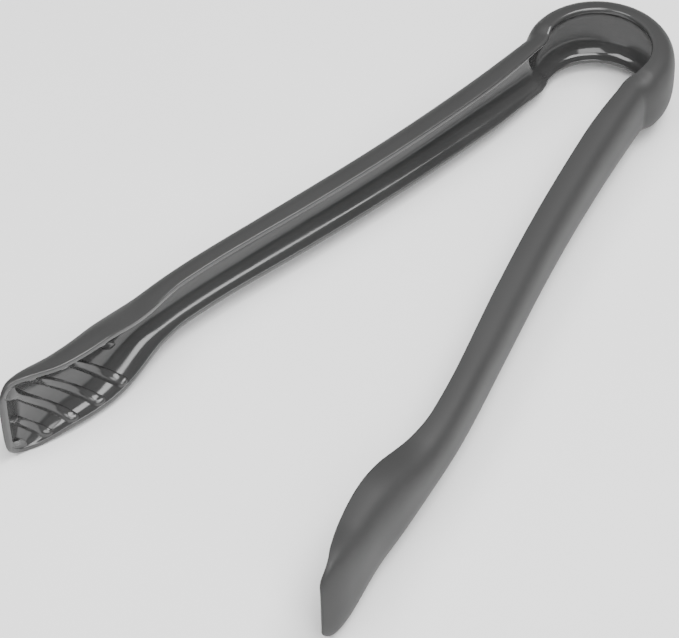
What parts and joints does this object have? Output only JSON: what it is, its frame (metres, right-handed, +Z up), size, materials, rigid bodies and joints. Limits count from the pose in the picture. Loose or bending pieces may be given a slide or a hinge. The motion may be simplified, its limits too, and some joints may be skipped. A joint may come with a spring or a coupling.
{
  "type": "spring tongs",
  "caption": "One-piece spring tongs: a round sprung bow joins two channel-section arms that end in ribbed scoop jaws, opened by the bow's own spring.",
  "frame": {"origin": "centre of the tongs' bounding box in plan, on the plane that the jaws' lower edges rest on", "axes": "+X from the bow to the tips, +Y towards the left arm, +Z up across the width of the arms"},
  "size_m": [0.229, 0.1088, 0.028],
  "materials": {
    "grey_plastic": "satin outside, polished inside the channel"
  },
  "bodies": {
    "bow_crown": {"bow_crown": "grey_plastic"},
    "left_bow_link_1": {"left_bow_link_1": "grey_plastic"},
    "left_bow_link_2": {"left_bow_link_2": "grey_plastic"},
    "left_bow_link_3": {"left_bow_link_3": "grey_plastic"},
    "left_arm": {"left_shoulder": "grey_plastic", "left_grip": "grey_plastic", "left_shank": "grey_plastic", "left_jaw": "grey_plastic", "left_rib_1": "grey_plastic", "left_rib_2": "grey_plastic", "left_rib_3": "grey_plastic", "left_rib_4": "grey_plastic", "left_rib_5": "grey_plastic", "left_rib_6": "grey_plastic"},
    "right_bow_link_1": {"right_bow_link_1": "grey_plastic"},
    "right_bow_link_2": {"right_bow_link_2": "grey_plastic"},
    "right_bow_link_3": {"right_bow_link_3": "grey_plastic"},
    "right_arm": {"right_shoulder": "grey_plastic", "right_grip": "grey_plastic", "right_shank": "grey_plastic", "right_jaw": "grey_plastic", "right_rib_1": "grey_plastic", "right_rib_2": "grey_plastic", "right_rib_3": "grey_plastic", "right_rib_4": "grey_plastic", "right_rib_5": "grey_plastic", "right_rib_6": "grey_plastic"}
  },
  "joints": [
    {"name": "squeeze", "type": "hinge", "parent": "bow_crown", "child": "left_arm", "pos_m": [-0.10244, 0.01437, 0.014], "axis": [0, 0, -1], "range_deg": [-3.2, 12.4], "stiffness_Nm_per_rad": 6},
    {"name": "left_bow_flex_1", "type": "hinge", "parent": "bow_crown", "child": "left_bow_link_1", "pos_m": [-0.11193, 0.00479, 0.014], "axis": [0, 0, -1], "range_deg": [-0.8, 3.1]},
    {"name": "left_bow_flex_2", "type": "hinge", "parent": "bow_crown", "child": "left_bow_link_2", "pos_m": [-0.10976, 0.00905, 0.014], "axis": [0, 0, -1], "range_deg": [-1.6, 6.2]},
    {"name": "left_bow_flex_3", "type": "hinge", "parent": "bow_crown", "child": "left_bow_link_3", "pos_m": [-0.10646, 0.01235, 0.014], "axis": [0, 0, -1], "range_deg": [-2.4, 9.3]},
    {"name": "right_squeeze", "type": "hinge", "parent": "bow_crown", "child": "right_arm", "pos_m": [-0.10244, -0.01437, 0.014], "axis": [0, 0, 1], "range_deg": [-3.2, 12.4], "stiffness_Nm_per_rad": 6},
    {"name": "right_bow_flex_1", "type": "hinge", "parent": "bow_crown", "child": "right_bow_link_1", "pos_m": [-0.11193, -0.00479, 0.014], "axis": [0, 0, 1], "range_deg": [-0.8, 3.1]},
    {"name": "right_bow_flex_2", "type": "hinge", "parent": "bow_crown", "child": "right_bow_link_2", "pos_m": [-0.10976, -0.00905, 0.014], "axis": [0, 0, 1], "range_deg": [-1.6, 6.2]},
    {"name": "right_bow_flex_3", "type": "hinge", "parent": "bow_crown", "child": "right_bow_link_3", "pos_m": [-0.10646, -0.01235, 0.014], "axis": [0, 0, 1], "range_deg": [-2.4, 9.3]}
  ],
  "couplings": [
    {"joint": "left_bow_flex_1", "follows": "squeeze", "ratio": 0.25},
    {"joint": "left_bow_flex_2", "follows": "squeeze", "ratio": 0.5},
    {"joint": "left_bow_flex_3", "follows": "squeeze", "ratio": 0.75},
    {"joint": "right_squeeze", "follows": "squeeze", "ratio": 1},
    {"joint": "right_bow_flex_1", "follows": "squeeze", "ratio": 0.25},
    {"joint": "right_bow_flex_2", "follows": "squeeze", "ratio": 0.5},
    {"joint": "right_bow_flex_3", "follows": "squeeze", "ratio": 0.75}
  ]
}
